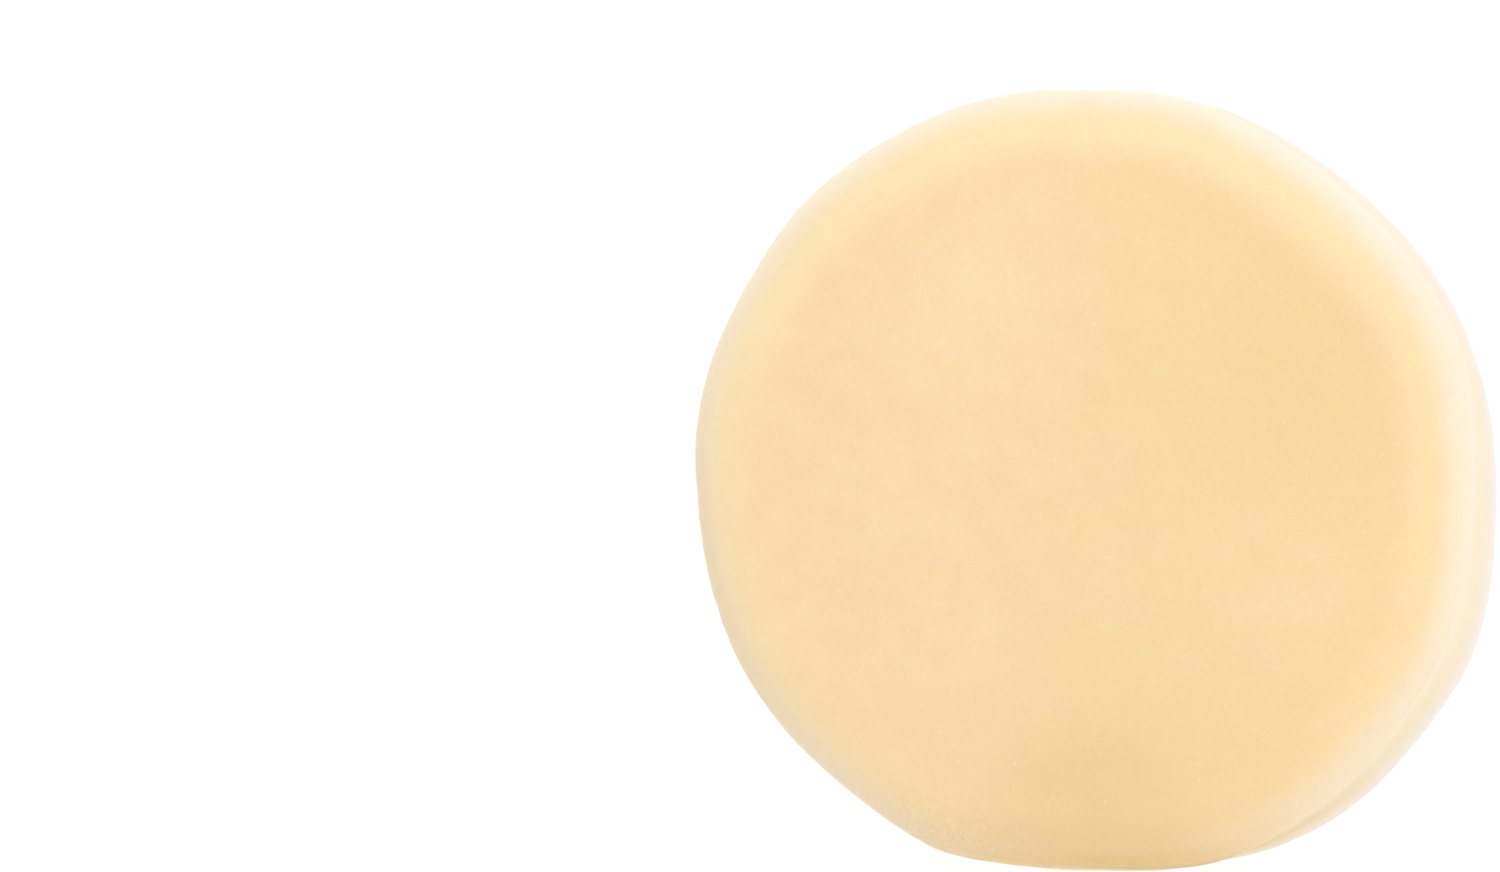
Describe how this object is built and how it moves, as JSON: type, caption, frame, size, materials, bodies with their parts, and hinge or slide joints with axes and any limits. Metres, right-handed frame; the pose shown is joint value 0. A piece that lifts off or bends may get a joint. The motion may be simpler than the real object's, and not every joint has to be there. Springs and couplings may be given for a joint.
{
  "type": "shaving soap puck",
  "caption": "Round hard shaving soap puck with flat faces, softly rounded rims, a faint front lip and a hand-trimmed outline.",
  "frame": {"origin": "centre of the back face's plane, under the middle of the puck's bounding box", "axes": "+Z through the thickness, out of the front face; +Y and +X lie in the face, up and to the right as the front face is seen"},
  "size_m": [0.0708, 0.0704, 0.025],
  "materials": {
    "soap": "matte to satin cream soap, slightly translucent"
  },
  "bodies": {
    "root": {"soap_cake": "soap"}
  },
  "joints": []
}
